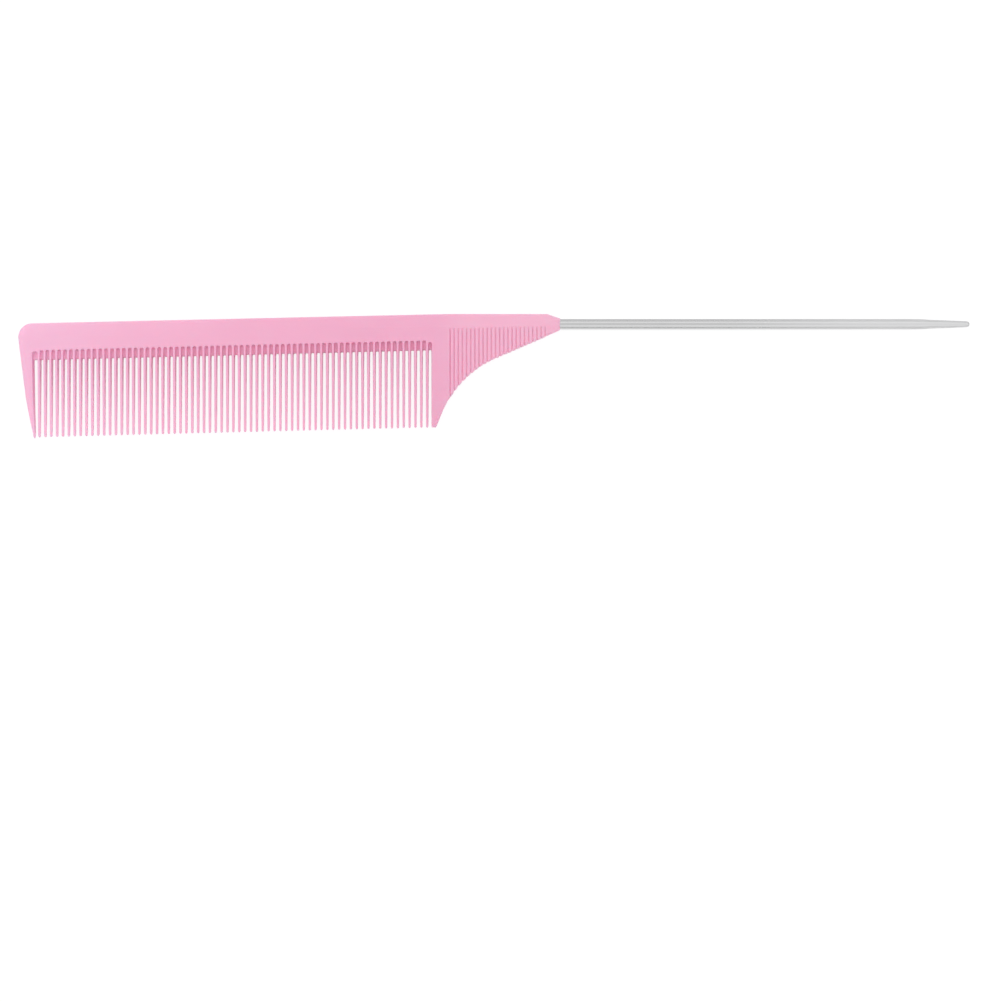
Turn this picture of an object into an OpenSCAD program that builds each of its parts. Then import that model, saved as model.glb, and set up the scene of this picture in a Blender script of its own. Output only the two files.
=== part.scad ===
// Rat tail comb: a thin moulded comb with a long steel tail pin.
// It lies flat: X runs along the length towards the pin's point, the teeth
// point to -Y and Z is the thickness. The origin is under the middle of the
// footprint. The sections below work in u (distance from the front end),
// v (height across the comb, measured from the pin's axis) and z (from the
// comb's middle plane), and lay_flat() moves them into place.

/* [Overall] */
// whole length, front end to pin point
overall_l = 235; // [228:0.5:242]
// plastic thickness at the flat lands
thick = 4; // [3.6:0.1:4.4]
// length of the shank from the rear guard tooth to the nose
shank_l = 31.75; // [30:0.25:34]
// height of the shank's straight back above the pin axis
back_h = 2.5; // [2.2:0.1:3]

/* [Teeth] */
// number of fine teeth between the two guard teeth
tooth_n = 67; // [40:1:67]
// distance from tooth to tooth
pitch = 1.4515; // [1.4:0.0005:1.5]
// length of a fine tooth below the root line
tooth_l = 19.11; // [14:0.01:20]
// tooth width at the root, on the middle plane
tooth_root_w = 0.82; // [0.7:0.01:0.9]
// tooth width at the root, on the faces
tooth_face_w = 0.52; // [0.4:0.01:0.6]
// tooth width just above the tip
tooth_tip_w = 0.6; // [0.5:0.01:0.66]
// tooth thickness just above the tip
tooth_tip_t = 1.4; // [1:0.1:2]
// slope of the root line and tip line against the shank's back, degrees
blade_tilt = 1.44; // [1:0.02:1.8]

/* [Spine] */
// depth of the root line below the pin axis, at the rear guard
root_drop = 6.45; // [6.4:0.01:7.2]
// slope of the spine's back against the shank's back, degrees
back_tilt = 1.28; // [1:0.02:1.5]
// radius of the front corner, seen from the side
corner_r = 3.5; // [3.2:0.1:4.5]
// radius that rounds the back's edges through the thickness
back_edge_r = 0.9; // [0.6:0.05:1]
// slope of the bevel beside the back, degrees
bevel_a = 8; // [7:0.5:12]
// length of the blind grooves above the root line
groove_l = 2.4; // [1.5:0.1:3]
// groove depth at its top end
groove_d = 0.9; // [0.6:0.05:1]
// thickness of the web between the grooves, at the root line
web_t = 2.0; // [1:0.05:2.2]

/* [Guard teeth] */
// width of the front guard tooth at the root, on the middle plane
guard_w = 3.98; // [3.7:0.01:4.05]
// lean of the front edge, degrees
front_lean = 7.13; // [6:0.01:8]
// radius that curves the front edge in towards the tip
front_curve_r = 120; // [110:1:150]
// how much further the front guard tooth reaches than the fine teeth
guard_reach = 0.3; // [0:0.05:0.6]
// thickness of a guard tooth at its tip
guard_tip_t = 2.6; // [2:0.1:3.4]
// width of the rear guard tooth's tip
rear_tip_w = 1.15; // [1:0.05:2]
// slope of the rear guard tooth's back edge, degrees
rear_slope = 68; // [66:0.5:70]

/* [Shank] */
// radius of the hollow curve under the shank
shank_curve_r = 25; // [22:0.5:27]
// slope of the shank's lower edge near the nose, degrees
shank_slope = 23.2; // [22:0.1:25]
// height of the nose's end face above the pin axis
nose_up = 1.37; // [1.32:0.01:1.6]
// depth of the nose's end face below the pin axis
nose_down = 1.54; // [1.4:0.01:1.7]
// length of the chamfer on top of the nose
nose_chamfer = 3.2; // [2.6:0.1:3.6]
// thickness of the nose at its end face
nose_t = 3.3; // [3:0.1:3.6]

/* [Grip ribs] */
// number of grooves that part the grip ribs
rib_n = 24; // [18:1:24]
// distance from rib to rib
rib_pitch = 1.02; // [0.95:0.005:1.02]
// width of a rib's crest
rib_crest = 0.55; // [0.45:0.05:0.6]
// width of a rib's foot
rib_foot = 0.78; // [0.7:0.01:0.82]
// height of the ribs on the faces
rib_h = 0.35; // [0.2:0.05:0.45]
// how far the ribs stand out of the lower edge
rib_out = 0.15; // [0.1:0.05:0.3]

/* [Tail pin] */
// pin diameter
pin_d = 2.5; // [2.2:0.05:2.6]
// diameter of the slim point
point_d = 1.45; // [1.2:0.05:1.8]
// length of the stretch that narrows to the point
point_l = 16.5; // [14:0.5:20]
// length of the pin's root inside the shank
pin_root_l = 26; // [18:0.5:27]
// number of anchor rings cut into the pin's root
anchor_n = 5; // [2:1:5]
// depth of an anchor ring
anchor_d = 0.2; // [0.1:0.05:0.3]
// how far the plain shaft reaches into the nose, behind which the first anchor ring starts
shaft_in = 0.1; // [0.05:0.05:0.3]

/* [Hidden] */
$fn = 64;
pink = [0.955, 0.720, 0.815];
steel = [0.80, 0.80, 0.81];

th = thick / 2;
k_root = tan(blade_tilt);
k_back = tan(back_tilt);
k_lean = tan(front_lean);

// flanks shared by the teeth and the grooves: half widths on the middle plane
// and on the face
half_mid = tooth_root_w / 2;
half_face = tooth_face_w / 2;
flank = half_mid - half_face;

// stations along the length
tooth_u0 = 5.22;
tooth_u1 = tooth_u0 + pitch * (tooth_n - 1);
rear_u = tooth_u1 + pitch - half_mid;
join_u = rear_u + 4;
body_l = rear_u + shank_l;

// lines across the comb
function root_v(u) = -root_drop - k_root * (rear_u - u);
function tip_v(u) = root_v(u) - tooth_l;
function back_v(u) = back_h - k_back * (join_u - u);

// front corner circle, tangent to the back and to the leaning front edge
corner_u = corner_r;
corner_v = back_v(corner_u) - corner_r / cos(back_tilt);
front_u0 = corner_u + k_lean * corner_v - corner_r / cos(front_lean);
function front_u(v) = front_u0 - k_lean * v;

// the front edge curves in below curve_v; the curve's circle also crosses the
// edge's line just above the root line
curve_v = root_v(0) - 9.07;
curve_n = [cos(front_lean), sin(front_lean)];
curve_half = (root_v(0) + 0.4 - curve_v) / 2;
curve_c = [front_u(curve_v + curve_half), curve_v + curve_half]
    + sqrt(pow(front_curve_r, 2) - pow(curve_half / cos(front_lean), 2)) * curve_n;
low_v = tip_v(guard_w) - guard_reach;
low_u = curve_c[0] - sqrt(pow(front_curve_r, 2) - pow(low_v - curve_c[1], 2));

// lower edge of the shank: two straight runs joined by the hollow curve
rear_tip_u = rear_u + rear_tip_w;
function line_cross(p, a, q, b) =
    let (t = ((q[0] - p[0]) * sin(b) - (q[1] - p[1]) * cos(b)) / sin(b - a))
    [p[0] + t * cos(a), p[1] + t * sin(a)];
turn = rear_slope - shank_slope;

// where the lower edge's two straight runs would meet, moved out by g
function knee(g) = line_cross(
    [rear_tip_u + g * sin(rear_slope), tip_v(rear_u) - g * cos(rear_slope)], rear_slope,
    [body_l + g * sin(shank_slope), -nose_down - g * cos(shank_slope)], shank_slope);

mid_y = (back_h + low_v) / 2;
bar_l = overall_l + 40;

module lay_flat() {
    translate([-overall_l / 2, -mid_y, th]) children();
}

// side view of the shank and the rear guard tooth, left open at the front and
// along the back; the lower edge can be moved out by g
module rear_outline(g = 0) {
    k = knee(g);
    r = shank_curve_r - g;
    run = r * tan(turn / 2);
    a = k - run * [cos(rear_slope), sin(rear_slope)];
    b = k + run * [cos(shank_slope), sin(shank_slope)];
    n = [sin(rear_slope), -cos(rear_slope)];
    c = a + r * n;
    end = [body_l, -nose_down] + g * [sin(shank_slope), -cos(shank_slope)];
    difference() {
        polygon([
            [rear_u - 2, back_h + 2],
            [body_l - nose_chamfer - 2 * nose_chamfer / (back_h - nose_up), back_h + 2],
            [body_l, nose_up],
            [body_l, end[1] + (body_l - end[0]) * tan(shank_slope)],
            b, c, a,
            [rear_tip_u, tip_v(rear_u)] + g * n,
            [rear_u - 2, tip_v(rear_u)]]);
        translate(c) circle(r = 1.001 * r, $fn = 180);
    }
}

// section through the back, with the distance from the back along X and the
// thickness along Y: a rounded edge, a bevel and the flat land
module back_section() {
    r = back_edge_r;
    flat = th - 1.2;
    touch = [r * (1 - sin(bevel_a)), flat + r * cos(bevel_a)];
    land = touch[0] + (th - touch[1]) / tan(bevel_a);
    sharp = touch[1] - touch[0] * tan(bevel_a);
    difference() {
        polygon([[0, -sharp], [0, sharp], [land, th], [bar_l, th], [bar_l, -th], [land, -th]]);
        for (m = [0, 1]) mirror([0, m]) translate([r, flat]) difference() {
            polygon([[0, 0], [-r - 1, 0], [-r - 1, r + 1], 2 * r * [-sin(bevel_a), cos(bevel_a)]]);
            circle(r = 1.004 * r);
        }
    }
}

// back_section swept along u, with the back's edge on the u axis
module back_bar(l) {
    rotate([90, 0, 90]) linear_extrude(l)
        mirror([1, 0]) back_section();
}

// a slice of a shape given in side view, through the whole thickness
module slab(t = thick) {
    linear_extrude(t, center = true) children();
}

// prism along v of a section drawn in (u, z)
module along_v(l) {
    rotate([90, 0, 0]) linear_extrude(l, center = true) children();
}

// bar under the spine's sloping back
module spine_bar() {
    translate([join_u, back_h, 0]) rotate([0, 0, back_tilt])
        translate([-bar_l, 0, 0]) back_bar(bar_l + 1);
}

// bar behind the leaning front edge
module front_bar() {
    translate([front_u0, 0, 0]) rotate([0, 0, 90 + front_lean])
        translate([-60, 0, 0]) back_bar(120);
}

// blade without grooves: rounded along the back, the front corner and the
// front edge
module blade_blank() {
    difference() {
        intersection() {
            spine_bar();
            front_bar();
        }
        difference() {
            slab(2 * thick) translate([corner_u, corner_v])
                polygon([[0, 0], 2 * corner_r * [-sin(back_tilt), cos(back_tilt)],
                    3 * corner_r * [-1, 1],
                    2 * corner_r * [-cos(front_lean), -sin(front_lean)]]);
            translate([corner_u, corner_v, 0]) rotate_extrude()
                intersection() {
                    translate([corner_r, 0]) mirror([1, 0]) back_section();
                    translate([0, -th]) square([corner_r, thick]);
                }
        }
    }
}

// everything above (side = 1) or below (side = -1) the root line
module root_side(side) {
    translate([0, root_v(0), 0]) rotate([0, 0, blade_tilt])
        translate([-50, side > 0 ? 0 : -60, -10]) cube([overall_l + 100, 60, 20]);
}

// blind groove between two flanks: m0 and m1 on the middle plane, f0 and f1
// on the face; it is cut from both faces and leaves the web
module groove(m0, f0, m1, f1, cut_short = 0) {
    u = (f0 + f1) / 2;
    r = (f1 - f0) / 2;
    v0 = root_v(u);
    top = groove_l - cut_short;
    for (m = [0, 1]) mirror([0, 0, m]) intersection() {
        translate([0, v0, 0]) along_v(3 * groove_l)
            polygon([[m0, 0], [m1, 0], [f1, th], [f1, th + 1], [f0, th + 1], [f0, th]]);
        translate([u, v0, 0]) linear_extrude(th + 1) {
            translate([-2 * r, -1]) square([4 * r, top - 1.1 * r + 1]);
            translate([0, top - 1.1 * r]) circle(r = 1.1 * r, $fn = 24);
        }
        translate([u - 2 * r, v0, 0]) rotate([90, 0, 90]) linear_extrude(4 * r)
            polygon([[-1, web_t / 2 - (th - groove_d - web_t / 2) / groove_l],
                [groove_l, th - groove_d], [groove_l, th + 1], [-1, th + 1]]);
    }
}

guard_face = guard_w - 0.38;

module comb_spine() {
    color(pink) lay_flat() difference() {
        intersection() {
            blade_blank();
            root_side(1);
            translate([-1, -50, -10]) cube([join_u + 1, 100, 20]);
        }
        groove(guard_w, guard_face, tooth_u0 - half_mid, tooth_u0 - half_face, 0.2);
        for (i = [1 : tooth_n - 1]) {
            u = tooth_u0 + pitch * i;
            groove(u - pitch + half_mid, u - pitch + half_face, u - half_mid, u - half_face);
        }
        groove(tooth_u1 + half_mid, tooth_u1 + half_face, rear_u, rear_u + flank, 0.45);
    }
}

// one fine tooth, hanging from the root line at its own middle
module fine_tooth() {
    tip_h = tooth_tip_w / 2;
    tip_th = tooth_tip_t / 2;
    intersection() {
        slab() polygon([[-half_mid, -k_root * half_mid], [half_mid, k_root * half_mid],
            [tip_h, -tooth_l + 0.6], [0.4 * tip_h, -tooth_l],
            [-0.4 * tip_h, -tooth_l], [-tip_h, -tooth_l + 0.6]]);
        along_v(3 * tooth_l) polygon([[-half_mid, 0], [-half_face, th], [half_face, th],
            [half_mid, 0], [half_face, -th], [-half_face, -th]]);
        translate([-1, 0, 0]) rotate([90, 0, 90]) linear_extrude(2)
            polygon([[1, th], [0, th], [-tooth_l + 0.6, tip_th], [-tooth_l, 0.4 * tip_th],
                [-tooth_l, -0.4 * tip_th], [-tooth_l + 0.6, -tip_th], [0, -th], [1, -th]]);
    }
}

module fine_teeth() {
    color(pink) lay_flat()
        for (i = [0 : tooth_n - 1])
            translate([tooth_u0 + pitch * i, root_v(tooth_u0 + pitch * i), 0]) fine_tooth();
}

module front_guard_tooth() {
    lean = atan(0.3 / tooth_l);
    v0 = root_v(guard_w);
    color(pink) lay_flat() intersection() {
        front_bar();
        root_side(-1);
        // front edge that curves in, and the pointed tip
        slab() intersection() {
            translate(curve_c) circle(r = front_curve_r, $fn = 360);
            polygon([[-5, 0], [-5, low_v], [low_u + 0.15, low_v],
                [guard_w + 0.5, tip_v(guard_w) + 0.4], [guard_w + 0.5, 0]]);
        }
        // inner flank
        translate([guard_w, v0, 0]) rotate([0, 0, lean]) along_v(90)
            polygon([[-20, -th], [guard_face - guard_w, -th], [0, 0],
                [guard_face - guard_w, th], [-20, th]]);
        // faces that taper to the tip
        translate([-5, v0, 0]) rotate([90, 0, 90]) linear_extrude(30)
            polygon([[1, th], [0, th], [-tooth_l - 2, guard_tip_t / 2],
                [-tooth_l - 2, -guard_tip_t / 2], [0, -th], [1, -th]]);
    }
}

module rear_guard_tooth() {
    v1 = tip_v(rear_u);
    color(pink) lay_flat() intersection() {
        slab() rear_outline();
        root_side(-1);
        translate([rear_u, v1, 0]) along_v(90)
            polygon([[join_u - rear_u, -th], [flank, -th], [0, 0], [flank, th],
                [join_u - rear_u, th]]);
        translate([rear_u - 1, v1, 0]) rotate([90, 0, 90]) linear_extrude(10)
            polygon([[40, th], [8.5, th], [0, guard_tip_t / 2], [0, -guard_tip_t / 2],
                [8.5, -th], [40, -th]]);
    }
}

rib_u0 = join_u + 0.64;
rib_end = rib_u0 + rib_pitch * (rib_n - 1) + (rib_pitch - rib_foot) / 2;
function rib_top(u) = -1.05 + 0.02 * (u - rib_u0);

// shank without ribs: straight back, tapering nose
module shank_blank(g = 0) {
    intersection() {
        slab() rear_outline(g);
        translate([join_u, back_h, 0]) back_bar(60);
        along_v(120) polygon([[join_u, -th], [rib_end, -th], [body_l, -nose_t / 2],
            [body_l, nose_t / 2], [rib_end, th], [join_u, th]]);
    }
}

module ribbed_shank() {
    foot = rib_foot / 2;
    crest = rib_crest / 2;
    color(pink) lay_flat() difference() {
        union() {
            difference() {
                shank_blank();
                // recess on both faces, between the first groove and the nose
                for (m = [0, 1]) mirror([0, 0, m]) translate([0, 0, th - rib_h])
                    linear_extrude(1) polygon([
                        [rib_u0 - (rib_pitch - rib_foot) / 2, rib_top(rib_u0)],
                        [rib_end, rib_top(rib_end)], [rib_end, -50],
                        [rib_u0 - (rib_pitch - rib_foot) / 2, -50]]);
            }
            // the ribs
            intersection() {
                shank_blank(rib_out);
                translate([0, rib_top(rib_u0) - 40, 0]) along_v(81)
                    for (i = [0 : rib_n - 2]) {
                        u = rib_u0 + rib_pitch * (i + 0.5);
                        polygon([[u - foot, th - rib_h], [u - crest, th], [u + crest, th],
                            [u + foot, th - rib_h], [u + foot, rib_h - th], [u + crest, -th],
                            [u - crest, -th], [u - foot, rib_h - th]]);
                    }
            }
        }
        pin_solid();
    }
}

// pin turned about its axis: ringed root, shaft, narrowed point, round end
module pin_solid() {
    r = pin_d / 2;
    p = point_d / 2;
    root_u = body_l - pin_root_l;
    ring = (pin_root_l - 3) / anchor_n;
    s = overall_l - point_l;
    rotate([90, 0, 90]) rotate_extrude($fn = 96)
        union() {
            polygon(concat(
                [[0, root_u], [r - 0.3, root_u], [r, root_u + 0.3]],
                [for (i = [anchor_n - 1 : -1 : 0], q = [0 : 3])
                    [q == 0 || q == 3 ? r : r - anchor_d,
                     body_l - shaft_in - ring * i - (q < 2 ? ring * 0.45 : 0)]],
                [[r, s], [r - 0.06, s + point_l * 0.33], [r - 0.21, s + point_l * 0.45],
                 [r - 0.32, s + point_l * 0.62], [p + 0.05, s + point_l * 0.85],
                 [p, overall_l - p], [0, overall_l - p]]));
            intersection() {
                translate([0, overall_l - p]) circle(r = p);
                translate([0, overall_l - p]) square([p, p]);
            }
        }
}

module tail_pin() {
    color(steel) lay_flat() pin_solid();
}

comb_spine();
fine_teeth();
front_guard_tooth();
rear_guard_tooth();
ribbed_shank();
tail_pin();
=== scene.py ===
import math

import bmesh
import bpy
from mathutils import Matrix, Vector
from mathutils.geometry import tessellate_polygon


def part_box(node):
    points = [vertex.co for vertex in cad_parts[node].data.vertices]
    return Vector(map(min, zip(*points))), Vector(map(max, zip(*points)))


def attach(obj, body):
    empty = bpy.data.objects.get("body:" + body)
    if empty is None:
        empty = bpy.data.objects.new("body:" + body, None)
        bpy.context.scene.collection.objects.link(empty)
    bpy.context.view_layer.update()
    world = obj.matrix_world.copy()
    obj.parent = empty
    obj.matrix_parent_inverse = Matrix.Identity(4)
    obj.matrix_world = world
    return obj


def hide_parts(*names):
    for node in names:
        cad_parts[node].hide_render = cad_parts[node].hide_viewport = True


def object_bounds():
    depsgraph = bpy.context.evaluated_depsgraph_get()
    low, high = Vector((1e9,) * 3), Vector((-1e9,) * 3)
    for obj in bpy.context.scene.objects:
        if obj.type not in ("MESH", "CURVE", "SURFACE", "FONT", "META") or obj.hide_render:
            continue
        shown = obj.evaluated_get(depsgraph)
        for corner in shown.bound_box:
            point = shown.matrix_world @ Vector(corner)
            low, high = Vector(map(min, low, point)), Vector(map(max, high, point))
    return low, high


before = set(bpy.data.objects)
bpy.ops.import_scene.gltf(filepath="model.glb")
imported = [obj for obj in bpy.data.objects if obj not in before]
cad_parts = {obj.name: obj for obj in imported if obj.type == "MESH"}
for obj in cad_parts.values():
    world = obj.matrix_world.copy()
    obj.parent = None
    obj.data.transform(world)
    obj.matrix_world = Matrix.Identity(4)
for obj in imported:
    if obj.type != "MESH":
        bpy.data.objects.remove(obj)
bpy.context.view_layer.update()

# ---------------------------------------------------------------- sizes from the frame
# All shapes below are worked out in millimetres as (u, v, z): u from the comb's front end
# towards the pin's point, v across the comb from the pin's axis, z from the middle plane.
MM = 1000.0
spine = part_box("comb_spine")
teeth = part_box("fine_teeth")
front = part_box("front_guard_tooth")
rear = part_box("rear_guard_tooth")
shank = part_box("ribbed_shank")
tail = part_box("tail_pin")
front_x = spine[0].x
axis_y = (tail[0].y + tail[1].y) / 2
middle_z = (tail[0].z + tail[1].z) / 2


def in_frame(u, v, z):
    """The point (u, v, z), in millimetres, in the shared frame, in metres."""
    return (front_x + u / MM, axis_y + v / MM, middle_z + z / MM)


def u_of(point):
    return (point.x - front_x) * MM


def v_of(point):
    return (point.y - axis_y) * MM


def sin(degrees):
    return math.sin(math.radians(degrees))


def cos(degrees):
    return math.cos(math.radians(degrees))


def tan(degrees):
    return math.tan(math.radians(degrees))


def mix(a, b, share):
    return a + (b - a) * share


def clamp(share):
    return min(1.0, max(0.0, share))


LAND = 2.0              # height of the flat faces above the middle plane
BACK_TAPER = 1.28       # slope of the spine's back, in degrees
FRONT_LEAN = 7.13       # lean of the front edge, in degrees
TEETH = 67
TOOTH_HALF = 0.41       # half a fine tooth's width at its root, on the middle plane
TOOTH_TIP_HALF = 0.3    # the same at its tip
TOOTH_TIP_HIGH = 0.7    # half thickness of a fine tooth at its tip
DRAFT = 0.075           # how far a fine tooth's flank moves in for each mm of height
GUARD_WIDE = 3.98       # width of the front guard tooth at its root, on the middle plane
GUARD_DRAFT = 0.19      # how far its inner flank moves in for each mm of height
GUARD_TIP_HIGH = 1.3    # half thickness to which both guard teeth taper
WEB = 1.0               # height of the web between the tooth roots
GROOVE = 2.4            # length of the blind grooves above the web

join_u = u_of(spine[1])
rear_u = u_of(rear[0])
body_end_u = u_of(shank[1])
pin_end_u = u_of(tail[1])
back_height = v_of(shank[1])
rear_tip_v = v_of(rear[0])
front_tip_v = v_of(front[0])
first_tooth_u = u_of(teeth[0]) + TOOTH_HALF
last_tooth_u = u_of(teeth[1]) - TOOTH_HALF
pitch = (last_tooth_u - first_tooth_u) / (TEETH - 1)

# the root line runs from the front guard's outer corner to the last fine tooth
root_from = (u_of(front[0]), v_of(spine[0]))
root_to = (u_of(teeth[1]), v_of(teeth[1]))


def root_v(u):
    """Height v of the root line at u."""
    return mix(root_from[1], root_to[1], (u - root_from[0]) / (root_to[0] - root_from[0]))


tooth_length = root_v(rear_u) - rear_tip_v


def back_v(u):
    """Height v of the comb's back at u."""
    return back_height - tan(BACK_TAPER) * max(0.0, join_u - u)


# ---------------------------------------------------------------- edge profiles
# Profiles from the parting line up to the face: (distance in from the outline, height z).
BACK_EDGE = [(0, 0), (0, 0.45), (0.01, 0.82), (0.07, 1.15), (0.23, 1.42), (0.48, 1.61), (0.8, 1.7), (2.97, 2)]
FRONT_EDGE = [(0, 0), (0, 0.4), (0.03, 0.8), (0.11, 1.2), (0.28, 1.5), (0.55, 1.76), (0.9, 1.92), (1.35, 2)]
LOWER_EDGE = [(0, 0), (0, 0.5), (0.01, 0.95), (0.04, 1.3), (0.12, 1.6), (0.23, 1.8), (0.34, 1.93), (0.5, 2)]
NOSE_EDGE = [(0, 0), (0, 0.5), (0, 1), (0, 1.35), (0.01, 1.65), (0.03, 1.83), (0.08, 1.94), (0.17, 2)]
# the levels of a tooth's flank as shares of its half thickness, and how its face edge is rounded
FLANK_LEVELS = (0, 0.27, 0.47, 0.54, 0.62, 0.90, 0.975, 1.0)
FLANK_ROUND = (0, 0, 0, 0, 0, 0, 0.03, 0.11)
# how far in a guard tooth's tip is at each of those levels, as shares of the whole
TIP_ROUND = (0, 0.02, 0.06, 0.12, 0.22, 0.5, 0.75, 1)


def blend_edges(first, second, share):
    return [(mix(a[0], b[0], share), mix(a[1], b[1], share)) for a, b in zip(first, second)]


def edge_at(edge, half, squeeze=1.0):
    """An edge profile at another half thickness, its distances times squeeze."""
    return [(inset * squeeze, z * half / LAND) for inset, z in edge]


def flank(half, squeeze=1.0, draft=DRAFT):
    """Profile of a tooth's flank at a half thickness, its distances times squeeze."""
    return [((draft * level * half + inset) * squeeze, level * half)
            for level, inset in zip(FLANK_LEVELS, FLANK_ROUND)]


def tip_edge(half, inset):
    """Profile of a guard tooth's rounded tip."""
    return [(inset * share, level * half) for share, level in zip(TIP_ROUND, FLANK_LEVELS)]


# ---------------------------------------------------------------- the moulding, upper half
verts = []
faces = []
path = []           # stations in order round the outline: each a column of vertices up to the face
open_steps = set()  # stations that no wall joins to the next, because a gap's web does


def add(u, v, z):
    verts.append((u, v, z))
    return len(verts) - 1


def strip(low, high):
    """Faces between two rows of vertices."""
    for i in range(len(low) - 1):
        faces.append((low[i], low[i + 1], high[i + 1], high[i]))


def station(u, v, inward_u, inward_v, profile):
    """Adds the outline's next station and returns its vertex on the face."""
    size = math.hypot(inward_u, inward_v)
    column = [add(u + inward_u / size * inset, v + inward_v / size * inset, z) for inset, z in profile]
    path.append(column)
    return column[-1]


# ---------------------------------------------------------------- front edge and its guard tooth
CORNER_R = 3.5
FRONT_CURVE_R = 120.0
GUARD_ROWS = (-12, -15, -18, -21, -23.5, -25.6, -27.0)
corner_v = back_v(CORNER_R) - CORNER_R / cos(BACK_TAPER)
front_line_u = CORNER_R + tan(FRONT_LEAN) * corner_v - CORNER_R / cos(FRONT_LEAN)
# below curve_v the front edge is an arc, on a circle that cuts the straight part at two heights
curve_v = root_v(0) - 9.07
half_chord = (root_v(0) + 0.4 - curve_v) / 2
reach = math.sqrt(FRONT_CURVE_R ** 2 - (half_chord / cos(FRONT_LEAN)) ** 2)
arc_u = front_line_u - tan(FRONT_LEAN) * (curve_v + half_chord) + reach * cos(FRONT_LEAN)
arc_v = curve_v + half_chord + reach * sin(FRONT_LEAN)


def front_edge(v):
    """Place and inward direction of the front edge at height v."""
    if v >= curve_v:
        return front_line_u - tan(FRONT_LEAN) * v, cos(FRONT_LEAN), sin(FRONT_LEAN)
    u = arc_u - math.sqrt(FRONT_CURVE_R ** 2 - (v - arc_v) ** 2)
    return u, (arc_u - u) / FRONT_CURVE_R, (arc_v - v) / FRONT_CURVE_R


def front_station(v, profile):
    u, inward_u, inward_v = front_edge(v)
    return station(u, v, inward_u, inward_v, profile)


def guard_inner_u(v):
    """Where the front guard tooth's inner flank is at height v."""
    return GUARD_WIDE + 0.3 * (root_v(4) - v) / tooth_length


def guard_half(v):
    """Half thickness of the front guard tooth at height v."""
    return mix(LAND, GUARD_TIP_HIGH, clamp((root_v(4) - v) / (tooth_length + 0.5)))


def guard_squeeze(v):
    """Narrows the edge profiles where the tooth is too slim for them."""
    return min(1.0, 0.8 * (guard_inner_u(v) - front_edge(v)[0]) / 1.85)


def front_guard():
    """Stations round the front guard tooth; returns its face's left, right and tip rows."""
    rows = (root_v(3) - 0.02,) + GUARD_ROWS
    left = [front_station(v, edge_at(FRONT_EDGE, guard_half(v), guard_squeeze(v))) for v in rows]
    tip = [station(3.72, -27.62, 0.95, 0.3, tip_edge(1.15, 0.2)),
           station(3.86, -28.08, 0.75, 0.65, tip_edge(1.0, 0.2)),
           station(4.05, front_tip_v + 0.01, 0, 1, tip_edge(0.85, 0.2)),
           station(4.2, -28.05, -0.8, 0.6, tip_edge(1.0, 0.2)),
           station(4.27, -27.6, -1, 0.1, tip_edge(1.15, 0.2))]
    right = [station(guard_inner_u(v), v, -1, 0, flank(guard_half(v), guard_squeeze(v), GUARD_DRAFT))
             for v in rows[:0:-1]]
    return left, right[::-1], tip


# ---------------------------------------------------------------- the gaps and the fine teeth
# across a gap: share of its width, and how far its root lies from the arch's crown
ROOT_ARCH = ((0, -0.12), (0.08, -0.03), (0.28, -0.005), (0.5, 0), (0.72, -0.005), (0.92, -0.03), (1, -0.12))
# the web's lower edge: height z, and how far it is rounded back there
WEB_EDGE = ((0, 0), (0.54, 0.02), (0.93, 0.13))
# the groove's wall, from its floor up to the land: how far each level lies outside the tooth's flank
GROOVE_WALL = (-0.07, 0.0, 0.0, 0.03, 0.11)
WALL_LEVELS = 5
FLOOR_LEVELS = 2    # the wall's two lowest levels follow the floor
FLOOR_SAG = 0.02    # the floor is a little lower between its edges
GROOVE_ROWS = (0, 0.4, 0.75)
ROUND_END = range(180, -1, -30)


def left_wall(gap, z):
    """Where the gap's left wall is at height z."""
    if gap == 0:
        return GUARD_WIDE - GUARD_DRAFT * z
    return first_tooth_u + pitch * (gap - 1) + TOOTH_HALF - DRAFT * z


def right_wall(gap, z):
    """Where the gap's right wall is at height z."""
    if gap == TEETH:
        return rear_u + DRAFT * z
    return first_tooth_u + pitch * gap - TOOTH_HALF + DRAFT * z


def floor_z(v, base):
    """Height of a groove's floor, which rises a little away from the root line."""
    return WEB + 0.1 / GROOVE * max(0.0, v - base)


def wall_z(v, base):
    """Heights of the groove's wall levels."""
    floor = floor_z(v, base)
    return (floor, floor + 0.14, 1.78, 1.94, LAND)


def left_column(gap, v, base):
    return [add(left_wall(gap, z) - out, v, z) for out, z in zip(GROOVE_WALL, wall_z(v, base))]


def right_column(gap, v, base):
    return [add(right_wall(gap, z) + out, v, z) for out, z in zip(GROOVE_WALL, wall_z(v, base))]


def turned_column(gap, angle, centre, base):
    """Column of the groove's round end, at an angle about its centre."""
    column = []
    for level in range(WALL_LEVELS):
        z = wall_z(centre, base)[level]
        radius = (right_wall(gap, z) - left_wall(gap, z)) / 2 + GROOVE_WALL[level]
        v = centre + radius * sin(angle)
        if level < FLOOR_LEVELS:
            z = wall_z(v, base)[level]
        column.append(add((left_wall(gap, z) + right_wall(gap, z)) / 2 + radius * cos(angle), v, z))
    return column


def floor_row(left, right, v, base):
    """Row of the groove's floor between two vertices of its walls."""
    inner = [add(mix(verts[left][0], verts[right][0], share), v, floor_z(v, base) - FLOOR_SAG)
             for share, _ in ROOT_ARCH[1:-1]]
    return [left] + inner + [right]


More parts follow.
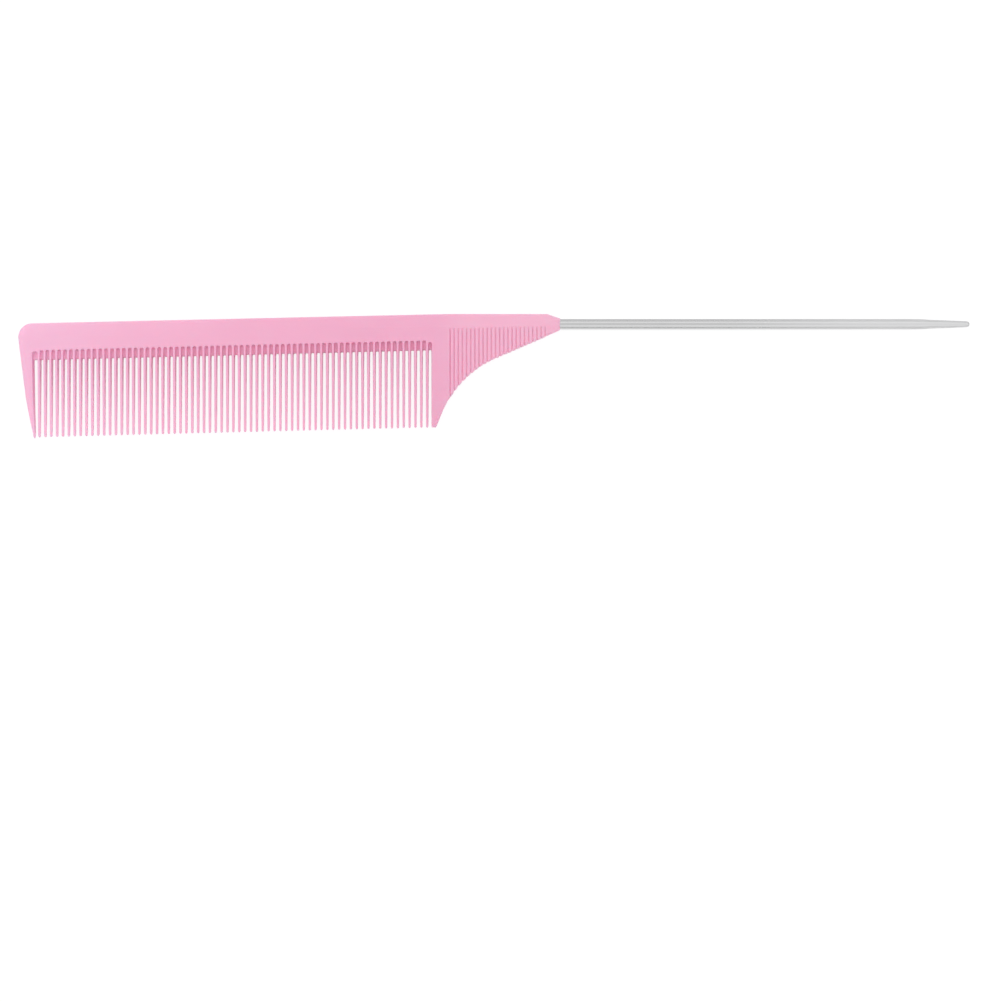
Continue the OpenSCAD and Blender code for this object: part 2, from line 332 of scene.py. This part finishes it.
def make_gap(gap):
    """Web and blind groove of a gap; returns the groove's rim: left, right and round end."""
    wide = right_wall(gap, LAND) - left_wall(gap, LAND)
    base = root_v((left_wall(gap, LAND) + right_wall(gap, LAND)) / 2)
    shorter = {0: 0.2, TEETH: 0.45}.get(gap, 0)
    centre = base + (GROOVE - shorter) - wide / 2
    web = [[add(mix(left_wall(gap, z), right_wall(gap, z), share), base + back + arch, z)
            for share, arch in ROOT_ARCH] for z, back in WEB_EDGE]
    rows = [base + 0.3 + (centre - base - 0.3) * share for share in GROOVE_ROWS]
    left = [left_column(gap, v, base) for v in rows]
    right = [right_column(gap, v, base) for v in rows]
    turn = [turned_column(gap, angle, centre, base) for angle in ROUND_END]
    floor = [web[-1]]
    floor += [floor_row(a[0], b[0], v, base) for a, b, v in zip(left, right, rows)]
    floor.append([column[0] for column in turn])
    for rows_up in (web, floor):
        for low, high in zip(rows_up, rows_up[1:]):
            strip(low, high)
    wall = left + turn + right[::-1]
    for level in range(WALL_LEVELS - 1):
        strip([column[level] for column in wall], [column[level + 1] for column in wall])
    open_steps.add(len(path))
    path.append([row[0] for row in web] + left[0])
    path.append([row[-1] for row in web] + right[0])
    sides = {"left": left, "right": right, "turn": turn}
    return {side: [column[-1] for column in columns] for side, columns in sides.items()}


TOOTH_DOWN = (0.6, 6.0, 12.5, tooth_length - 0.37)   # rows of a flank, below the root line
TOOTH_TIP_ANGLES = (-62, -30, 0, 30, 62)


def tooth_size(down):
    """Half thickness and half width of a fine tooth at a distance below the root line."""
    share = min(1.0, down / (tooth_length - 0.6))
    return mix(LAND, TOOTH_TIP_HIGH, share), mix(TOOTH_HALF, TOOTH_TIP_HALF, share)


def tooth_side(centre_u, down, side):
    """Station on a fine tooth's left (-1) or right (1) flank."""
    half, wide = tooth_size(down)
    profile = flank(half, wide / TOOTH_HALF)
    return station(centre_u + side * wide, root_v(centre_u) - down, -side, 0, profile)


def tooth_tip(centre_u, angle):
    """Station on a fine tooth's rounded tip."""
    half, wide = tooth_size(tooth_length)
    start_v = root_v(centre_u) - tooth_length + 0.37
    column = []
    for (inset, z), level in zip(flank(half, wide / TOOTH_HALF), FLANK_LEVELS):
        drop = 0.36 * math.sqrt(1 - 0.7 * level * level)
        column.append(add(centre_u + (wide - inset) * sin(angle), start_v - drop * cos(angle), z))
    path.append(column)
    return column[-1]


def make_tooth(number):
    """Stations round a fine tooth; returns its face's left, right and tip rows."""
    centre_u = first_tooth_u + pitch * number
    left = [tooth_side(centre_u, down, -1) for down in TOOTH_DOWN]
    tip = [tooth_tip(centre_u, angle) for angle in TOOTH_TIP_ANGLES]
    right = [tooth_side(centre_u, down, 1) for down in TOOTH_DOWN[::-1]]
    return left, right[::-1], tip


# ---------------------------------------------------------------- lower edge of the shank
# It climbs from the rear guard's tip, turns on an arc, and runs on to the nose.
TIP_SLOPE = 68.0
NOSE_SLOPE = 23.2
BEND_R = 25.0
NOSE_LOW_V = -1.54
climb_from = (rear_u + 1.15, rear_tip_v)
run_to = (body_end_u, NOSE_LOW_V)
climb = (((run_to[0] - climb_from[0]) * sin(NOSE_SLOPE) - (run_to[1] - climb_from[1]) * cos(NOSE_SLOPE))
         / sin(NOSE_SLOPE - TIP_SLOPE))
knee = (climb_from[0] + climb * cos(TIP_SLOPE), climb_from[1] + climb * sin(TIP_SLOPE))
tangent = BEND_R * tan((TIP_SLOPE - NOSE_SLOPE) / 2)
bend_from = (knee[0] - tangent * cos(TIP_SLOPE), knee[1] - tangent * sin(TIP_SLOPE))
bend_to_u = knee[0] + tangent * cos(NOSE_SLOPE)
bend_centre = (bend_from[0] + BEND_R * sin(TIP_SLOPE), bend_from[1] - BEND_R * cos(TIP_SLOPE))


def lower_edge(u):
    """Height and inward direction of the shank's lower edge at u."""
    if u <= bend_from[0]:
        return climb_from[1] + (u - climb_from[0]) * tan(TIP_SLOPE), -sin(TIP_SLOPE), cos(TIP_SLOPE)
    if u >= bend_to_u:
        return run_to[1] + (u - run_to[0]) * tan(NOSE_SLOPE), -sin(NOSE_SLOPE), cos(NOSE_SLOPE)
    v = bend_centre[1] + math.sqrt(BEND_R ** 2 - (u - bend_centre[0]) ** 2)
    return v, (u - bend_centre[0]) / BEND_R, (v - bend_centre[1]) / BEND_R


def lower_edge_at(v):
    """Where the lower edge reaches height v, found by halving."""
    low = climb_from[0] - 1
    high = body_end_u
    for _ in range(40):
        middle = (low + high) / 2
        if lower_edge(middle)[0] < v:
            low = middle
        else:
            high = middle
    return low


def low_station(u, half, squeeze=1.0):
    """Station of the lower edge, square to it."""
    v, inward_u, inward_v = lower_edge(u)
    return station(u, v, inward_u, inward_v, edge_at(LOWER_EDGE, half, squeeze))


def upright(u, z, out=0.0):
    """Station of the lower edge whose vertices all lie at the same u, its face at height z."""
    v, _, inward_v = lower_edge(u)
    profile = [((inset - out) / inward_v, height) for inset, height in edge_at(LOWER_EDGE, z)]
    return station(u, v, 0, 1, profile)


# ---------------------------------------------------------------- rear guard tooth
TAPER_V = -19.3         # the rear guard tooth tapers below this height
INNER_ROWS = (-9.5, -13.0, -16.5)
REAR_ROWS = (TAPER_V, -21.2, -22.9, -24.2, -25.1)


def rear_half(v):
    """Half thickness of the rear guard tooth at height v."""
    return mix(LAND, GUARD_TIP_HIGH, clamp((TAPER_V - v) / (TAPER_V - rear_tip_v)))


def rear_squeeze(v):
    """Narrows the edge profiles where the tooth is too slim for them."""
    return min(1.0, 0.8 * (lower_edge_at(v) - rear_u) / 0.95)


def rear_outer(v):
    """Station on the rear guard tooth's outer edge."""
    u = lower_edge_at(v)
    _, inward_u, inward_v = lower_edge(u)
    return station(u, v, inward_u, inward_v, edge_at(LOWER_EDGE, rear_half(v), rear_squeeze(v)))


def rear_guard():
    """Stations round the rear guard tooth; returns its face's left, right and tip rows."""
    left = [station(rear_u, v, 1, 0, flank(rear_half(v), rear_squeeze(v))) for v in REAR_ROWS]
    rounded = tip_edge(1.25, 0.28)
    tip = [station(rear_u + 0.03, rear_tip_v + 0.16, 0.9, 0.4, rounded),
           station(rear_u + 0.2, rear_tip_v + 0.01, 0.4, 0.9, rounded),
           station(rear_u + 0.57, rear_tip_v, 0, 1, rounded),
           station(rear_u + 1.0, rear_tip_v + 0.02, -0.4, 0.9, rounded),
           station(rear_u + 1.2, rear_tip_v + 0.2, -0.9, 0.45, rounded)]
    right = [rear_outer(v) for v in REAR_ROWS[::-1]]
    return left, right[::-1], tip


# ---------------------------------------------------------------- grip ribs
RIBS = 23
RIB_PITCH = 1.02
RIB_HALF = 0.40     # half a rib's width at its foot
RIB_HIGH = 0.35
RIB_LOWER = 0.02    # how far the ribs stay below the lands
RIB_STEPS = (-1, -0.96, -0.85, -0.6, 0, 0.6, 0.85, 0.96, 1)
RUN_OUT = 0.55      # between the ribs the recess ramps up to the land over this height
RIB_RUN_OUT = 0.14  # and the ribs themselves over this one
ribs_u = join_u + 0.64
rib_end_u = ribs_u + RIB_PITCH * RIBS + RIB_PITCH / 2 - RIB_HALF
rib_start_u = ribs_u - RIB_PITCH / 2 + RIB_HALF - 0.1


def rib_top(u):
    """Height v of the ribs' upper ends."""
    return -1.05 + 0.02 * (u - ribs_u)


def rib_columns():
    """Where the ribbed surface has columns, and each one's height as a share of a rib's."""
    columns = [(rib_start_u + 0.04, 0.85), (rib_start_u + 0.1, 0.5), (rib_start_u + 0.17, 0.2)]
    for number in range(RIBS):
        centre_u = ribs_u + RIB_PITCH * (number + 0.5)
        columns += [(centre_u + RIB_HALF * step, math.sqrt(1 - step ** 4)) for step in RIB_STEPS]
    columns.append((rib_end_u - 0.06, 0))
    return columns


def rib_column(u, share):
    """Column of the ribbed surface, from its upper end down to the lower edge."""
    top = rib_top(u)
    z = LAND - RIB_HIGH + (RIB_HIGH - RIB_LOWER) * share
    fade = mix(RUN_OUT, RIB_RUN_OUT, share)
    low = upright(u, z, 0.15 * share)
    return [add(u, top, LAND), add(u, top - fade * 0.45, mix(LAND, z, 0.35)), add(u, top - fade, z), low]


# ---------------------------------------------------------------- nose, back and front corner
NOSE_HALF = 1.65
NOSE_TOP_V = 1.37
NOSE_SLANT = 3.2    # length over which the back comes down to the nose
nose_turn = math.atan2(back_height - NOSE_TOP_V, NOSE_SLANT)


def nose_half(u):
    """Half thickness of the shank beyond the ribs."""
    return mix(LAND, NOSE_HALF, clamp((u - rib_end_u) / (body_end_u - rib_end_u)))


def nose_lower():
    """Stations of the lower edge beyond the ribs."""
    row = [upright(rib_end_u, LAND)]
    for share in (0.35, 0.7, 0.95):
        u = mix(rib_end_u, body_end_u, share)
        row.append(low_station(u, nose_half(u), mix(1.0, 0.5, share)))
    return row


def nose_end():
    """Stations up the nose's flat end, with its two rounded corners."""
    end = body_end_u
    low = NOSE_LOW_V
    high = NOSE_TOP_V
    profile = edge_at(NOSE_EDGE, NOSE_HALF)
    return [station(end - 0.1, low - 0.02, -0.5, 0.86, profile),
            station(end - 0.02, low + 0.05, -0.8, 0.6, profile),
            station(end, low + 0.2, -1, 0.15, profile),
            station(end, low + 1.0, -1, 0, profile),
            station(end, high - 0.8, -1, 0, profile),
            station(end, high - 0.14, -1, -0.15, profile),
            station(end - 0.02, high - 0.03, -0.8, -0.6, profile),
            station(end - 0.1, high + 0.01, -0.5, -0.86, profile)]


def nose_slant(share):
    """Station on the slant between the back (share 0) and the nose's end (share 1)."""
    u = body_end_u - NOSE_SLANT * (1 - share)
    v = mix(back_height, NOSE_TOP_V, share)
    profile = edge_at(blend_edges(BACK_EDGE, NOSE_EDGE, share ** 0.8), nose_half(u))
    return station(u, v, -math.sin(nose_turn) * min(1, share * 3), -math.cos(nose_turn), profile)


def back_line():
    """Stations along the back, over the grip and then over the teeth."""
    row = [station(u, back_height, 0, -1, BACK_EDGE) for u in (126, 122, 118, 114, 110, join_u + 1.2)]
    for step in range(15):
        u = mix(join_u - 1.2, CORNER_R + 1.0, step / 14)
        row.append(station(u, back_v(u), sin(BACK_TAPER), -cos(BACK_TAPER), BACK_EDGE))
    return row


def corner_station(share):
    """Station of the rounded front corner, from the back (share 0) to the front edge (share 1)."""
    angle = mix(90 + BACK_TAPER, 180 + FRONT_LEAN, share)
    u = CORNER_R + CORNER_R * cos(angle)
    v = corner_v + CORNER_R * sin(angle)
    profile = blend_edges(BACK_EDGE, FRONT_EDGE, share * share * (3 - 2 * share))
    return station(u, v, -cos(angle), -sin(angle), profile)


# ---------------------------------------------------------------- once round the outline
front_row = [front_station(v, FRONT_EDGE) for v in (-4.6, -6.2, -7.8)]
guard_rows = front_guard()
rims = []
tooth_rows = []
for number in range(TEETH):
    rims.append(make_gap(number))
    tooth_rows.append(make_tooth(number))
rims.append(make_gap(TEETH))
inner_row = [station(rear_u, v, 1, 0, flank(LAND)) for v in INNER_ROWS]
rear_rows = rear_guard()
taper_u = lower_edge_at(TAPER_V)
low_row = [low_station(mix(taper_u, rib_start_u, share), LAND) for share in (0.35, 0.7)]
low_row.append(upright(rib_start_u, LAND))
ribs = [rib_column(u, share) for u, share in rib_columns()]
nose_row = nose_lower() + nose_end() + [nose_slant(share) for share in (0.88, 0.6, 0.3, 0.04)]
back_at_ribs = station(rib_end_u, back_height, 0, -1, BACK_EDGE)
back_row = back_line() + [corner_station(step / 12) for step in range(13)]


# ---------------------------------------------------------------- walls and faces
def wall(column, following):
    """Faces between two neighbouring stations."""
    for k in range(len(column) - 1):
        faces.append((column[k], following[k], following[k + 1], column[k + 1]))


def tooth_face(left, right, tip):
    """Faces between two rows of a tooth's face, top end first, closed round the tip."""
    for i in range(len(left) - 1):
        faces.append((left[i + 1], right[i + 1], right[i], left[i]))
    faces.append((tip[0], tip[4], right[-1], left[-1]))
    faces.append((tip[1], tip[3], tip[4], tip[0]))
    faces.append((tip[1], tip[2], tip[3]))


def fill(loop):
    """Flat faces inside a loop of vertices, all facing up."""
    points = [Vector((verts[i][0], verts[i][1], 0)) for i in loop]
    for triangle in tessellate_polygon([points]):
        a, b, c = (points[i] for i in triangle)
        face = tuple(loop[i] for i in triangle)
        if (b - a).cross(c - a).z < 0:
            face = face[::-1]
        faces.append(face)


def recess_end(column, low, high, turn):
    """Narrow wall between the land and the ribbed surface's first or last column."""
    for a, b in zip(column, column[1:]):
        faces.append((low, b, a)[::turn])
    faces.append((low, column[0], high)[::turn])


for number, column in enumerate(path):
    if number not in open_steps:
        wall(column, path[(number + 1) % len(path)])
for number, (left, right, tip) in enumerate(tooth_rows):
    before = rims[number]
    after = rims[number + 1]
    tooth_face(before["right"][::-1] + left, after["left"][::-1] + right, tip)
    faces.append((before["right"][-1], after["left"][-1], after["turn"][0], before["turn"][-1]))
tooth_face(guard_rows[0], [rims[0]["left"][0]] + guard_rows[1], guard_rows[2])
tooth_face(*rear_rows)

for column, following in zip(ribs, ribs[1:]):
    strip(following, column)
recess_row = [add(rib_start_u, rib_top(rib_start_u), LAND)]
recess_row += [column[0] for column in ribs]
recess_row.append(add(rib_end_u, rib_top(rib_end_u), LAND))
recess_end(ribs[0], low_row[-1], recess_row[0], 1)
recess_end(ribs[-1], nose_row[0], recess_row[-1], -1)

land = [guard_rows[0][0]] + rims[0]["left"]
for rim in rims:
    land += rim["turn"]
land += rims[-1]["right"][::-1] + inner_row + [rear_rows[0][0], rear_rows[1][0]]
land += low_row + recess_row + [back_at_ribs] + back_row + front_row
fill(land)
fill(nose_row + [back_at_ribs, recess_row[-1]])

# the lower half mirrors the upper one, and shares the vertices on the parting line
mirror = [i if z == 0 else add(u, v, -z) for i, (u, v, z) in enumerate(list(verts))]
faces += [tuple(mirror[i] for i in face[::-1]) for face in faces]


def mesh_object(name, points, polygons, sharp):
    """Object in the shared frame, smooth but for edges that turn by more than sharp degrees."""
    mesh = bpy.data.meshes.new(name)
    mesh.from_pydata([in_frame(*point) for point in points], [], polygons)
    work = bmesh.new()
    work.from_mesh(mesh)
    bmesh.ops.remove_doubles(work, verts=work.verts, dist=1e-7)
    for face in work.faces:
        face.smooth = True
    for edge in work.edges:
        edge.smooth = len(edge.link_faces) == 2 and edge.calc_face_angle(0) < math.radians(sharp)
    work.to_mesh(mesh)
    work.free()
    made = bpy.data.objects.new(name, mesh)
    bpy.context.scene.collection.objects.link(made)
    return made


body = mesh_object("comb_body", verts, faces, 38)
normals = body.modifiers.new("even_normals", "WEIGHTED_NORMAL")
normals.keep_sharp = True
normals.weight = 60
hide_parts("comb_spine", "fine_teeth", "front_guard_tooth", "rear_guard_tooth", "ribbed_shank")
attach(body, "root")

# ---------------------------------------------------------------- the tail pin
PIN_SIDES = 56
RINGS = 5
RING_PITCH = 4.6
RING_DEEP = 0.2
SHAFT_R = 1.25
# the narrowing end: distance back from the point, and the radius there
PIN_POINT = ((14.6, 1.243), (12.9, 1.225), (11.6, 1.19), (10.7, 1.14), (10.0, 1.08), (9.2, 1.035), (8.0, 1.0),
             (6.4, 0.95), (4.6, 0.88), (3.0, 0.81), (1.6, 0.76), (0.75, 0.72), (0.4, 0.65), (0.16, 0.5),
             (0.05, 0.3), (0.01, 0.12))


def pin_outline():
    """The pin's (u, radius) from its root in the shank to just short of its point."""
    radius = (tail[1].y - tail[0].y) / 2 * MM
    root_u = u_of(tail[0])
    outline = [(root_u, 0.0), (root_u, radius - 0.3), (root_u + 0.3, radius)]
    for number in range(RINGS):
        ring_u = body_end_u - 0.1 - RING_PITCH * (RINGS - 1 - number)
        outline += [(ring_u - 2.07, radius), (ring_u - 2.02, radius - RING_DEEP)]
        outline += [(ring_u - 0.05, radius - RING_DEEP), (ring_u, radius)]
    outline += [(mix(body_end_u, pin_end_u - 16.6, share), radius) for share in (0, 0.2, 0.4, 0.6, 0.8, 1)]
    outline += [(pin_end_u - back, size * radius / SHAFT_R) for back, size in PIN_POINT]
    return outline


def turned(outline, point_u, sides):
    """Vertices and faces of an outline turned about the pin's axis and closed at point_u."""
    points = []
    for u, radius in outline:
        for side in range(sides):
            angle = 2 * math.pi * side / sides
            points.append((u, radius * math.cos(angle), radius * math.sin(angle)))
    polygons = []
    for ring in range(len(outline) - 1):
        for side in range(sides):
            a = ring * sides + side
            b = ring * sides + (side + 1) % sides
            polygons.append((a, a + sides, b + sides, b))
    points.append((point_u, 0, 0))
    last = (len(outline) - 1) * sides
    polygons += [(last + side, len(points) - 1, last + (side + 1) % sides) for side in range(sides)]
    return points, polygons


pin_points, pin_faces = turned(pin_outline(), pin_end_u, PIN_SIDES)
pin = mesh_object("steel_tail_pin", pin_points, pin_faces, 30)
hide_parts("tail_pin")
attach(pin, "root")


# ---------------------------------------------------------------- materials
def new_material(name):
    material = bpy.data.materials.new(name)
    material.use_nodes = True
    return material, material.node_tree, material.node_tree.nodes["Principled BSDF"]


def node(tree, kind, **settings):
    """New node; each setting is one of its properties or, failing that, one of its inputs."""
    made = tree.nodes.new(kind)
    for name, value in settings.items():
        if hasattr(made, name):
            setattr(made, name, value)
        else:
            made.inputs[name.replace("_", " ")].default_value = value
    return made


def colour_ramp(tree, factor, stops):
    """Colours over a factor of 0 to 1, from stops of (place, colour)."""
    ramp = node(tree, "ShaderNodeValToRGB")
    elements = ramp.color_ramp.elements
    for element, (place, colour) in zip(elements, (stops[0], stops[-1])):
        element.position = place
        element.color = (*colour, 1)
    for place, colour in stops[1:-1]:
        elements.new(place).color = (*colour, 1)
    tree.links.new(factor, ramp.inputs["Fac"])
    return ramp.outputs["Color"]


def noise(tree, place, **settings):
    made = node(tree, "ShaderNodeTexNoise", **settings)
    tree.links.new(place, made.inputs["Vector"])
    return made.outputs["Fac"]


def between(tree, factor, low, high):
    """A factor of 0 to 1 as a number from low to high."""
    made = node(tree, "ShaderNodeMapRange", To_Min=low, To_Max=high)
    tree.links.new(factor, made.inputs["Value"])
    return made.outputs["Result"]


def share_along(tree, place, from_x, to_x):
    """0 to 1 along the comb, between two places in the shared frame."""
    parts = node(tree, "ShaderNodeSeparateXYZ")
    tree.links.new(place, parts.inputs["Vector"])
    made = node(tree, "ShaderNodeMapRange", From_Min=from_x, From_Max=to_x)
    tree.links.new(parts.outputs["X"], made.inputs["Value"])
    return made.outputs["Result"]


def bump(tree, shader, height, strength, distance):
    made = node(tree, "ShaderNodeBump", Strength=strength, Distance=distance)
    tree.links.new(height, made.inputs["Height"])
    tree.links.new(made.outputs["Normal"], shader.inputs["Normal"])


def plastic():
    material, tree, shader = new_material("pink_moulded_plastic")
    place = node(tree, "ShaderNodeTexCoord").outputs["Object"]
    # the comb's colour is palest at the front end, deepest at the last teeth and paler again in the grip:
    # this change along the comb is painted light, the light's fall-off and brightening along the comb painted
    # into the base colour
    share = share_along(tree, place, spine[0].x, shank[1].x)
    pink_with_painted_falloff = colour_ramp(tree, share, ((0.0, (0.944, 0.520, 0.710)), (0.28, (0.924, 0.470, 0.647)),
                                     (0.6, (0.892, 0.440, 0.614)), (0.77, (0.884, 0.438, 0.614)),
                                     (0.82, (0.915, 0.478, 0.642)), (1.0, (0.910, 0.490, 0.648))))
    # and it drifts slightly everywhere
    cloud = noise(tree, place, Scale=45.0, Detail=3.0, Roughness=0.5)
    drift = colour_ramp(tree, cloud, ((0.3, (0.97, 0.96, 0.965)), (0.7, (1, 1, 1))))
    both = node(tree, "ShaderNodeMix", data_type="RGBA", blend_type="MULTIPLY")
    both.inputs["Factor"].default_value = 1.0
    tree.links.new(pink_with_painted_falloff, both.inputs["A"])
    tree.links.new(drift, both.inputs["B"])
    tree.links.new(both.outputs["Result"], shader.inputs["Base Color"])
    # the tool's satin surface: uneven gloss and a fine skin
    gloss = noise(tree, place, Scale=260.0, Detail=4.0, Roughness=0.6)
    tree.links.new(between(tree, gloss, 0.26, 0.38), shader.inputs["Roughness"])
    bump(tree, shader, noise(tree, place, Scale=2600.0, Detail=2.0), 0.05, 0.00004)
    shader.inputs["IOR"].default_value = 1.49
    shader.inputs["Specular IOR Level"].default_value = 0.5
    shader.inputs["Subsurface Weight"].default_value = 0.5
    shader.inputs["Subsurface Radius"].default_value = (1.0, 0.45, 0.6)
    shader.inputs["Subsurface Scale"].default_value = 0.001
    return material


def steel():
    material, tree, shader = new_material("drawn_stainless_steel")
    place = node(tree, "ShaderNodeTexCoord").outputs["Object"]
    # drawing lines along the pin
    stretched = node(tree, "ShaderNodeMapping", Scale=(0.02, 1, 1))
    tree.links.new(place, stretched.inputs["Vector"])
    lines = noise(tree, stretched.outputs["Vector"], Scale=9000.0, Detail=2.0)
    # towards its point the pin is finished by grinding, so it is duller there; its colour is also a little
    # paler there, which is painted light: the brighter, flatter light near the point painted into the steel's
    # colour
    ground_and_painted_light = share_along(tree, place, tail[1].x - 0.062, tail[1].x - 0.026)
    dull = node(tree, "ShaderNodeMath", operation="MULTIPLY_ADD")
    dull.inputs[1].default_value = 0.22
    tree.links.new(ground_and_painted_light, dull.inputs[0])
    tree.links.new(between(tree, lines, 0.16, 0.24), dull.inputs[2])
    tree.links.new(dull.outputs["Value"], shader.inputs["Roughness"])
    cloud = noise(tree, place, Scale=120.0, Detail=3.0)
    grey = colour_ramp(tree, cloud, ((0.0, (0.655, 0.655, 0.66)), (1.0, (0.695, 0.695, 0.70))))
    painted_paler_colour = node(tree, "ShaderNodeMix", data_type="RGBA")
    painted_paler_colour.inputs["B"].default_value = (0.745, 0.745, 0.75, 1)
    tree.links.new(ground_and_painted_light, painted_paler_colour.inputs["Factor"])
    tree.links.new(grey, painted_paler_colour.inputs["A"])
    tree.links.new(painted_paler_colour.outputs["Result"], shader.inputs["Base Color"])
    bump(tree, shader, lines, 0.03, 0.00002)
    shader.inputs["Metallic"].default_value = 1.0
    # the dark edge tint darkens the steel's reflections at grazing angles: a painted dark reflection,
    # standing in for dark surroundings seen in the pin's edges
    shader.inputs["Specular Tint"].default_value = (0.26, 0.26, 0.265, 1)
    return material


def lit_table():
    """White with some light of its own, so that the comb's shadow hardly shows."""
    material, _, shader = new_material("pale_light_table")
    shader.inputs["Base Color"].default_value = (0.19, 0.19, 0.19, 1)
    shader.inputs["Roughness"].default_value = 0.9
    shader.inputs["Specular IOR Level"].default_value = 0.1
    shader.inputs["Emission Color"].default_value = (1, 1, 1, 1)
    shader.inputs["Emission Strength"].default_value = 0.86
    return material


body.data.materials.append(plastic())
pin.data.materials.append(steel())

# ---------------------------------------------------------------- stage, light, camera
FLOOR_HALF = 3.0
FLOOR_GAP = 0.00002
low_corner, high_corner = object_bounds()
centre = (low_corner + high_corner) / 2


def make_floor():
    """Large square just below the comb."""
    corners = [(-FLOOR_HALF, -FLOOR_HALF, 0), (FLOOR_HALF, -FLOOR_HALF, 0),
               (FLOOR_HALF, FLOOR_HALF, 0), (-FLOOR_HALF, FLOOR_HALF, 0)]
    mesh = bpy.data.meshes.new("floor")
    mesh.from_pydata(corners, [], [(0, 1, 2, 3)])
    mesh.materials.append(lit_table())
    made = bpy.data.objects.new("floor", mesh)
    made.location = (centre.x, centre.y, low_corner.z - FLOOR_GAP)
    bpy.context.scene.collection.objects.link(made)
    return made


def light_tent():
    """Soft light from all round: dim at the horizon, brightest half way up, a little dimmer overhead."""
    world = bpy.data.worlds.new("studio")
    world.use_nodes = True
    bpy.context.scene.world = world
    tree = world.node_tree
    tent = tree.nodes["Background"]
    parts = node(tree, "ShaderNodeSeparateXYZ")
    tree.links.new(node(tree, "ShaderNodeTexCoord").outputs["Generated"], parts.inputs["Vector"])
    greys = ((0.0, 0.37), (0.22, 0.45), (0.5, 1.04), (0.84, 1.04), (0.94, 0.82), (1.0, 0.77))
    stops = [(height, (grey, grey, grey)) for height, grey in greys]
    tree.links.new(colour_ramp(tree, parts.outputs["Z"], stops), tent.inputs["Color"])
    # the wall behind the tent, which only the camera sees, is white like the table
    wall_white = node(tree, "ShaderNodeBackground", Color=(1, 1, 1, 1))
    ray = node(tree, "ShaderNodeLightPath")
    either = node(tree, "ShaderNodeMixShader")
    tree.links.new(ray.outputs["Is Camera Ray"], either.inputs[0])
    tree.links.new(tent.outputs["Background"], either.inputs[1])
    tree.links.new(wall_white.outputs["Background"], either.inputs[2])
    tree.links.new(either.outputs["Shader"], tree.nodes["World Output"].inputs["Surface"])


def softbox(name, place, size, power):
    """Square light at a place relative to the comb's centre, turned towards it."""
    light = bpy.data.lights.new(name, "AREA")
    light.shape = "RECTANGLE"
    light.size = size
    light.size_y = size
    light.energy = power
    made = bpy.data.objects.new(name, light)
    made.location = centre + Vector(place)
    made.rotation_euler = (-Vector(place)).to_track_quat("-Z", "Y").to_euler()
    bpy.context.scene.collection.objects.link(made)


def overhead_camera():
    """Looks straight down, as the comb was photographed, with the comb above the frame's middle."""
    lens = 115.0
    sensor = 36.0
    width = 1.0524 * (high_corner.x - low_corner.x)
    aim_x = centre.x + 0.00174
    aim_y = axis_y - 0.04369
    settings = bpy.data.cameras.new("camera")
    settings.lens = lens
    settings.sensor_width = sensor
    settings.clip_start = 0.01
    settings.clip_end = 20
    made = bpy.data.objects.new("camera", settings)
    made.location = (aim_x, aim_y, (middle_z + high_corner.z) / 2 + width * lens / sensor)
    bpy.context.scene.collection.objects.link(made)
    return made


floor = make_floor()
light_tent()
softbox("key_softbox", (-0.66, 0.60, 0.80), 0.6, 2.1)
bpy.context.scene.camera = overhead_camera()
bpy.context.scene.view_settings.view_transform = "Standard"
